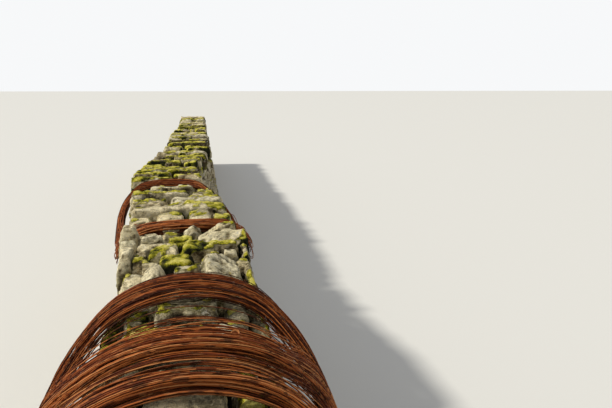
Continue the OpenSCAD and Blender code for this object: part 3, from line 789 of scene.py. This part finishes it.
def course_line(k, y, side):
    """Height of the bed under course k, which wanders a little along the wall."""
    if k == 0 or k == len(COURSES):
        return course_z(k)
    swing = math.sin(y * 4.1 + k * 2.3 + side) + 0.8 * math.sin(y * 7.3 + k * 4.9 + 2 * side)
    ends = min(1, (y - NEAR_Y - HEAD_DEPTH) / 0.3, (-NEAR_Y - HEAD_DEPTH - y) / 0.3)
    if k in (THROUGH_COURSE, THROUGH_COURSE + 1):
        for b, i in product(BAYS, (0, 1)):
            ends = min(ends, max(0, abs(y - through_y(b, i)) / 0.25 - 0.5))
    return course_z(k) + 0.011 * swing * max(0, ends)


def face_stone(ends, low, high, front, side, seed, depth=0.15):
    """One stone of a face, between two joints, each as its lower and upper y, and two sloping beds."""
    (y00, y01), (y10, y11) = ends
    corners = [(y00, low[0]), (y10, low[1]), (y11, high[1]), (y01, high[0])]
    least, most = np.min(corners, 0), np.max(corners, 0)
    y, z = (least + most) / 2
    half = np.array([depth / 2, *(most - least) / 2])
    middle = np.array([centre(y) + side * (front - depth / 2), y, z])
    rng = np.random.default_rng(seed)
    turn = (centre(y + 0.05) - centre(y - 0.05)) / 0.1
    face = np.array([side, -side * turn + rng.normal(0, 0.05), rng.normal(0, 0.06) - 0.1])
    face /= np.linalg.norm(face)
    normals, dists = [face, -face], [depth / 2, depth / 2]
    for (ya, za), (yb, zb) in zip(corners, corners[1:] + corners[:1]):
        out = np.array([rng.normal(0, 0.04), zb - za, ya - yb])
        out /= np.linalg.norm(out)
        normals.append(out)
        dists.append(float(out[1:] @ (np.array([ya, za]) - (y, z))) - 0.0025)
    return rock(normals, np.maximum(dists, 0.008), middle, half, FACE_CELL, seed, sharp=rng.uniform(24, 60),
                rough=0.5, moss=rng.uniform(0.0, 0.45), chips=7, depth=(0.84, 1.0), front=(face, depth / 2),
                bed=(rng.uniform(-0.1, 0.1), rng.uniform(-0.15, 0.15), 1))


def course_stones(ya, yb, k, s, side, parts, seed):
    """The stones of course k from ya to yb. Some places hold two thin stones on each other."""
    usual = FACE_STONE * (0.86 + 0.28 * scatter(s + 5))
    m = max(1, int(math.floor((yb - ya) / usual + (k % 2) * 0.5 + 0.5)))
    tall = course_z(k + 1) - course_z(k)
    lean = [0 if j in (0, m) else around(seed * 0.31 + j * 1.7, 0.022) for j in range(m + 1)]
    for j in range(m):
        y0, y1 = joint_y(ya, yb, m, j, s), joint_y(ya, yb, m, j + 1, s)
        ends = ((y0 - lean[j], y0 + lean[j]), (y1 - lean[j + 1], y1 + lean[j + 1]))
        low, high = ([course_line(bed, y, side) for y in (y0, y1)] for bed in (k, k + 1))
        front = course_half(k) + around(s + j * 1.3 + 0.4, FACE_ROUGH)
        one = seed + j * 7
        if scatter(one * 0.37) < 0.3 and tall > 0.1:
            a, b = 0.35 + 0.3 * scatter(one * 0.7), 0.35 + 0.3 * scatter(one * 0.9)
            cut = [low[0] + (high[0] - low[0]) * a, low[1] + (high[1] - low[1]) * b]
            at = (y0 - lean[j] * (1 - 2 * a), y1 - lean[j + 1] * (1 - 2 * b))
            under = ((ends[0][0], at[0]), (ends[1][0], at[1]))
            over = ((at[0], ends[0][1]), (at[1], ends[1][1]))
            parts.append(face_stone(under, low, cut, front, side, one))
            parts.append(face_stone(over, cut, high, front - 0.006, side, one + 1))
        else:
            parts.append(face_stone(ends, low, high, front, side, one))


def face_piece(b, side):
    parts = []
    for k in range(len(COURSES)):
        s = b * 31 + k * 7.1 + (3.3 if side > 0 else 0)
        ya = NEAR_Y + quoin(k) if b == 1 else bay_start(b)
        yb = -NEAR_Y - quoin(k) if b == 6 else bay_end(b)
        seed = FACE_SEED + b * 1000 + k * 100 + (500 if side > 0 else 0)
        across = [through_y(b, i) for i in (0, 1)] if k == THROUGH_COURSE else []
        starts, ends = [ya] + [t + THROUGH_W / 2 for t in across], [t - THROUGH_W / 2 for t in across] + [yb]
        for i, (start, end) in enumerate(zip(starts, ends)):
            course_stones(start, end, k, s + i, side, parts, seed + 30 * i)
    name = ("left" if side < 0 else "right") + f"_face_{b}"
    make_piece(name + "_stones", parts, FACE_MAT, name)


for bay in BAYS:
    face_piece(bay, -1)
    face_piece(bay, 1)


# footing, through stones and heads
def solids_piece(node, cell, name, seed, moss, rough):
    """A weathered stone for each solid of a CAD node."""
    parts, stones = [], loose_solids(node)
    for i, (corners, normals, dists, middle) in enumerate(stones):
        half = (corners.max(0) - corners.min(0)) / 2
        parts.append(rock(normals, dists, middle, half, cell, seed + i, sharp=34, rough=rough, moss=moss,
                          bed=(0, 0.05, 1), chips=7, depth=(0.86, 1.0), others=neighbours(stones, i)))
    make_piece(name, parts, FACE_MAT, node)


for bay in BAYS:
    solids_piece(f"footing_{bay}", FOOTING_CELL, f"footing_stones_{bay}",
                 FOOTING_SEED + bay * 50, moss=0.3, rough=0.5)
    solids_piece(f"through_stones_{bay}", THROUGH_CELL, f"through_stone_pair_{bay}",
                 THROUGH_SEED + bay * 50, moss=0.35, rough=0.45)


def head_piece(name, y_end, direction, seed):
    """The quoins that close one end of the wall, two to a course."""
    parts = []
    c = centre(y_end + direction * HEAD_DEPTH)
    for k in range(len(COURSES)):
        h, deep, z0, z1 = course_half(k), quoin(k), course_z(k), course_z(k + 1)
        m = around((3 if direction > 0 else 8) + k * 2.3, 0.06)
        for x0, x1 in ((c - h, c + m), (c + m, c + h)):
            left = x0 < c - 0.1
            half = np.array([(x1 - x0) / 2 - 0.003, deep / 2 - 0.002, (z1 - z0) / 2 - 0.002])
            middle = np.array([(x0 + x1) / 2, y_end + direction * deep / 2, (z0 + z1) / 2])
            parts.append(rock(*box_planes(half), middle, half, HEAD_CELL, seed + k * 3 + left, sharp=34,
                              rough=0.45, moss=0.3, chips=7, depth=(0.86, 1.0),
                              front=((0, -direction, 0), deep / 2), flank=-1 if left else 1))
    make_piece(name + "_stones", parts, FACE_MAT, name)


head_piece("near_wall_head", NEAR_Y, 1, HEAD_SEED)
head_piece("far_wall_head", -NEAR_Y, -1, HEAD_SEED + 1000)

for bay in BAYS:
    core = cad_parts[f"hearting_{bay}"]
    core.data.materials.clear()
    core.data.materials.append(CORE_MAT)


# wire coils
def power(v, n):
    return np.sign(v) * np.abs(v) ** n


def arch_at(arch, t):
    angle = np.radians(arch["drop"] * np.sin(np.radians(t)))
    n = 2 / arch["square"]
    return arch["reach"] * power(np.sin(angle), n), arch["crown"] * power(np.cos(angle), n)


def arch_out(arch, t):
    angle = np.radians(arch["drop"] * np.sin(np.radians(t)))
    n = 2 - 2 / arch["square"]
    x, z = power(np.sin(angle), n) / arch["reach"], power(np.cos(angle), n) / arch["crown"]
    size = np.sqrt(x * x + z * z)
    return x / size, z / size


def bundle_half(t):
    return BUNDLE_T / 2 * (1 + 0.3 * np.abs(np.sin(np.radians(t))))


def coil_places(coil, t):
    """The coil's middle line at turns t in degrees, with the ways out of the arch and across the bundle."""
    at, opening, rise, arch = coil["at"], coil["open"], coil["rise"], coil["arch"]
    seat = np.array([SEAT_TURN])
    base = (BED_Z + COPE_H + rise + bundle_half(seat) * arch_out(arch, seat)[1] - arch_at(arch, seat)[1])[0]
    cos_t = np.cos(np.radians(t))
    held = np.sign(cos_t) * np.minimum(1, np.abs(cos_t) / math.cos(math.radians(SEAT_TURN)))
    x, z = arch_at(arch, t)
    mid = np.array([centre(v) for v in NEAR_Y + at + opening * held])
    p = np.stack([mid + x, NEAR_Y + at + opening * cos_t, base + z], 1)
    ox, oz = arch_out(arch, t)
    out = np.stack([ox, np.zeros(len(t)), oz], 1)
    ahead = np.gradient(p, axis=0)
    ahead /= np.linalg.norm(ahead, axis=1)[:, None]
    across = np.cross(ahead, out)
    across /= np.linalg.norm(across, axis=1)[:, None]
    return p, out, across


def tube(points, radius, paint):
    """A wire of WIRE_SIDES sides along points."""
    ahead = np.gradient(points, axis=0)
    ahead /= np.maximum(np.linalg.norm(ahead, axis=1), 1e-9)[:, None]
    up = np.array([0.31, 0.22, 0.93])
    a = np.cross(ahead, up)
    a /= np.maximum(np.linalg.norm(a, axis=1), 1e-6)[:, None]
    b = np.cross(ahead, a)
    turn = np.arange(WIRE_SIDES) * 2 * math.pi / WIRE_SIDES
    round_it = np.cos(turn)[None, :, None] * a[:, None] + np.sin(turn)[None, :, None] * b[:, None]
    ring = points[:, None] + radius * round_it
    i, j = np.meshgrid(np.arange(len(points) - 1), np.arange(WIRE_SIDES), indexing="ij")
    here, ahead = i * WIRE_SIDES, (i + 1) * WIRE_SIDES
    k = (j + 1) % WIRE_SIDES
    quads = np.stack([here + j, here + k, ahead + k, ahead + j], -1).reshape(-1, 4)
    return ring.reshape(-1, 3), quads, np.repeat(paint, WIRE_SIDES, 0)


def wire_turns(coil, turns, spacing):
    """Turns in degrees of the points along the wire, evenly spaced along it."""
    fine = np.arange(0, 360.5, 0.5)
    p, _, _ = coil_places(coil, fine)
    run = np.concatenate([[0], np.cumsum(np.linalg.norm(np.diff(p, axis=0), axis=1))])
    count = int(round(run[-1] / spacing))
    one = np.interp(np.arange(count) / count * run[-1], run, fine)
    return np.concatenate([one + 360 * lap for lap in range(turns)] + [[360.0 * turns]])


def strand_places(rng, bands, count):
    """Where across a band each of count strands lies, drawn from groups of (place, spread, share)."""
    share = np.array([b[2] for b in bands], float)
    pick = rng.choice(len(bands), size=count, p=share / share.sum())
    place, spread = np.array([b[0] for b in bands]), np.array([b[1] for b in bands])
    return place[pick] + rng.uniform(-1, 1, count) * spread[pick]


def pulled(points, middle_x, share):
    """Draw the hanging parts of a coil in towards the wall."""
    side = points[:, 0] - middle_x
    points[:, 0] -= (1 - share) * side * smooth(0.12, 0.34, np.abs(side))
    return points


def drape(points, middle_x, stones):
    """Push wire out of the stones, up or away from the wall's middle, and even the push along the wire."""
    move = np.zeros(points.shape)
    for _ in range(3):
        p = points + move
        for corners, normals, dists, middle in stones:
            low, high = corners.min(0) - WIRE_CLEAR, corners.max(0) + WIRE_CLEAR
            near = np.flatnonzero(((p > low) & (p < high)).all(1))
            if not len(near):
                continue
            away = (p[near] - middle) @ normals.T - dists
            inside = away.max(1) < WIRE_CLEAR
            outward = normals[None, :, 0] * np.sign(p[near, 0] - middle_x[near])[:, None]
            free = (normals[None, :, 2] > 0.5) | (outward > 0.55)
            choice = np.where(free, away, -9.0).argmax(1)
            depth = WIRE_CLEAR - away[np.arange(len(near)), choice]
            push = normals[choice] * np.where(inside, depth, 0)[:, None]
            move[near] += push
            p[near] += push
    kernel = np.array([0.12, 0.2, 0.36, 0.2, 0.12])
    for axis in range(3):
        even = np.convolve(move[:, axis], kernel, "same")
        move[:, axis] = np.maximum(np.abs(move[:, axis]) * 0.6, np.abs(even)) * np.sign(even)
    return points + move


def middles(p):
    """The wall's middle line beside points."""
    return np.array([centre(y) for y in p[:, 1]])


def loose_end(rng, coil):
    """A short wire that stands off the coil."""
    first = rng.choice([-1, 1]) * rng.uniform(25, 60) + rng.choice([0, 180])
    turn = rng.choice([-1, 1])
    along = np.linspace(0, 1, 16)
    q, out, across = coil_places(coil, first + turn * rng.uniform(14, 34) * along)
    lift, drift = rng.uniform(0.01, 0.032), rng.uniform(-0.05, 0.05)
    q = q + across * (rng.uniform(-0.05, 0.05) + drift * along ** 2)[:, None]
    q = q + out * (0.018 + lift * along ** 2 * np.cos(2.2 * along))[:, None]
    q = pulled(q, middles(q), coil["pulled_in"])
    return tube(q, coil["wire"] / 2, np.tile([rng.uniform(0.2, 1.0), 0.9, 1.0, 1.0], (16, 1)))


def wire_ring(x, y, z):
    """A wire end twisted into a small ring."""
    turn = np.linspace(0, 4.3 * math.pi, 44)
    high = z + 0.008 * np.sin(turn) + 0.0004 * turn
    q = np.stack([x + 0.011 * np.cos(turn), y + 0.008 * np.sin(turn), high], 1)
    return tube(q, 0.0014, np.tile([0.9, 1.0, 1.0, 1.0], (44, 1)))


def coil_piece(node, coil, turns, spacing, seed):
    """The turns of one coil: each half turn has a place in its band, and changes over near the low ends."""
    rng = np.random.default_rng(seed)
    t = wire_turns(coil, turns, spacing)
    p, out, across = coil_places(coil, t)
    e = np.abs(np.sin(np.radians(t)))
    far = np.cos(np.radians(t)) > 0
    wide = np.where(far, coil["wide"], BUNDLE_W)
    half = (wide * (1 - e * e) + BUNDLE_END * e * e) / 2
    thick = bundle_half(t)
    knots = 2 * turns + 3
    u = np.empty(knots)
    u[0::2] = strand_places(rng, coil["far_band"], len(u[0::2]))
    u[1::2] = strand_places(rng, coil["near_band"], len(u[1::2]))
    v = rng.uniform(-1, 1, knots)
    k = np.floor(t / 180 + 0.5).astype(int)
    part = t / 180 + 0.5 - k
    w = smooth(0.8, 1.0, part) * 0.5
    w_back = (1 - smooth(0.0, 0.2, part)) * 0.5
    uu, vv = (q[k] * (1 - w - w_back) + q[k + 1] * w + q[np.maximum(k - 1, 0)] * w_back for q in (u, v))
    wave = np.outer(t / 52.0, (1, 0, 0))
    lap = np.minimum(k, knots - 1)
    loose = rng.choice([0.6, 1.1, 2.6], size=knots, p=[0.46, 0.36, 0.18])[lap]
    wander = 0.16 * loose * noise(wave, 1.0, seed + 1) * (1 + e)
    wander = wander + 0.06 * loose * noise(wave, 0.3, seed + 4)
    uu = uu + wander * coil["stray"] * 0.107 / np.maximum(half, 0.03)
    vv = vv + 0.5 * noise(wave, 0.8, seed + 2)
    room = np.sqrt(np.clip(1 - 0.75 * np.clip(uu, -1, 1) ** 2, 0, 1))
    vv = np.clip(vv, -1, 1) * room
    points = p + across * (uu * half * (1 + 0.3 * e))[:, None] + out * (vv * thick * 0.88)[:, None]
    points[:, 2] -= 0.022 * e * e * (0.5 + 0.5 * noise(wave, 2.0, seed + 3))
    drawn = rng.uniform(size=knots)[lap] ** 0.9 * coil["closes"]
    points[:, 1] -= drawn * coil["open"] * np.cos(np.radians(t)) * smooth(0.29, 0.68, e)
    mid = middles(p)
    points = pulled(points, mid, coil["pulled_in"])
    if coil["draped_on"]:
        points = drape(points, mid, loose_solids(coil["draped_on"]))
    # painted shade for strands on the inner side of the bundle, towards the wall: 0.3 there, 1 on the
    # outside
    deep = 0.3 + 0.7 * smooth(-0.9, 0.1, vv)
    tint = rng.uniform(size=knots)
    # painted light and shade per band: the far band of a coil darker, the near band lighter
    painted_band_light = np.where(far, *coil["painted_band_light"])
    parts = [tube(points, coil["wire"] / 2, np.stack([tint[lap], painted_band_light, deep, np.ones(len(t))], 1))]
    for _ in range(coil["ends"]):
        parts.append(loose_end(rng, coil))
    if coil["ring"]:
        parts.append(wire_ring(*coil["ring"]))
    make_piece(node + "_wire", parts, RUST, node)


# what the coils share, then each coil, with its bands as groups of place, spread and share of the strands
COIL = dict(rise=0.016, arch=STEEP_ARCH, stray=1.0, closes=1.0, draped_on=None, ring=None)
NEAR_COIL = dict(
    COIL, at=0.545, open=0.15, wide=0.124, wire=0.0029, painted_band_light=(1.0, 1.0), pulled_in=0.95, ends=12, stray=0.5,
    far_band=[(-0.88, 0.05, 0.9), (0.16, 0.2, 4), (0.5, 0.2, 3.0)],
    near_band=[(-0.6, 0.35, 3), (0.0, 0.3, 3), (0.5, 0.3, 2)])
MIDDLE_COIL = dict(
    COIL, at=1.035, open=0.165, wide=0.214, wire=0.0028, painted_band_light=(0.12, 0.86), pulled_in=0.94, ends=14,
    ring=(0.134, -5.13, 1.199),
    far_band=[(-0.9, 0.08, 1.2), (-0.6, 0.28, 4), (-0.25, 0.3, 4), (0.12, 0.28, 3), (0.5, 0.12, 0.8),
              (1.05, 0.35, 0.12), (2.2, 0.25, 0.35)],
    near_band=[(-1.1, 0.12, 1.0), (-0.5, 0.24, 4), (-0.12, 0.28, 4), (0.25, 0.25, 2.4), (0.72, 0.18, 0.3),
               (1.25, 0.3, 0.25)])
FAR_COIL = dict(
    COIL, at=BAY + 0.775, open=0.6, rise=-0.036, arch=FLAT_ARCH, wide=0.17, wire=0.0042, painted_band_light=(0.22, 0.5),
    pulled_in=0.82, ends=6, closes=0.0, draped_on="cope_2",
    far_band=[(-0.5, 0.35, 3), (0.0, 0.35, 3), (0.45, 0.3, 2)],
    near_band=[(-0.5, 0.4, 3), (0.0, 0.4, 3), (0.45, 0.35, 2), (0.0, 1.15, 0.2)])

coil_piece("near_wire_coil", NEAR_COIL, turns=96, spacing=0.036, seed=301)
coil_piece("middle_wire_coil", MIDDLE_COIL, turns=122, spacing=0.037, seed=302)
coil_piece("far_wire_coil", FAR_COIL, turns=84, spacing=0.042, seed=303)


# floor, light and camera
def plain_floor(reach=300):
    mesh = bpy.data.meshes.new("floor")
    corners = [(-reach, -reach, 0), (reach, -reach, 0), (reach, reach, 0), (-reach, reach, 0)]
    mesh.from_pydata(corners, [], [(0, 1, 2, 3)])
    mat, _, shader = new_material("pale_floor")
    shader.inputs["Base Color"].default_value = (0.74, 0.74, 0.72, 1)
    shader.inputs["Roughness"].default_value = 0.9
    mesh.materials.append(mat)
    new_object("floor", mesh)


def plain_sky():
    """Soft light from all round, which the camera sees as a pale backdrop."""
    world = bpy.data.worlds.new("sky")
    bpy.context.scene.world = world
    world.use_nodes = True
    world.node_tree.nodes.clear()
    n = Nodes(world.node_tree)
    both = n.add("MixShader")
    n.link(n.add("LightPath").outputs["Is Camera Ray"], both.inputs[0])
    for slot, colour, strength in ((1, (0.97, 0.98, 1.0, 1), 0.46), (2, (0.93, 0.94, 0.95, 1), 1.0)):
        sky = n.add("Background")
        n.put(sky.inputs[0], colour)
        n.put(sky.inputs[1], strength)
        n.link(sky.outputs[0], both.inputs[slot])
    n.link(both.outputs[0], n.add("OutputWorld").inputs[0])


def sun(name, strength, colour, azimuth, elevation, spread):
    lamp = bpy.data.lights.new(name, "SUN")
    lamp.energy, lamp.color, lamp.angle = strength, colour, math.radians(spread)
    obj = new_object(name, lamp)
    a, e = math.radians(azimuth), math.radians(elevation)
    back = Vector((math.sin(a) * math.cos(e), -math.cos(a) * math.cos(e), math.sin(e)))
    obj.rotation_mode = "QUATERNION"
    obj.rotation_quaternion = back.to_track_quat("Z", "Y")


def photo_camera():
    cam = bpy.data.cameras.new("camera")
    cam.sensor_width = 36
    cam.lens = cam.sensor_width * FOCAL_PX / PHOTO_W
    cam.clip_start, cam.clip_end = 0.05, 500
    eye = new_object("camera", cam)
    eye.location = (EYE_X, NEAR_Y - EYE_BACK, BED_Z + COPE_H + EYE_UP)
    eye.rotation_mode = "XYZ"
    eye.rotation_euler = (math.radians(90 - PITCH), 0, math.radians(-YAW))
    bpy.context.scene.camera = eye


plain_floor()
plain_sky()
sun("key", strength=3.0, colour=(1.0, 0.95, 0.84), azimuth=-96, elevation=42, spread=5)
photo_camera()
bpy.context.scene.view_settings.view_transform = "Standard"
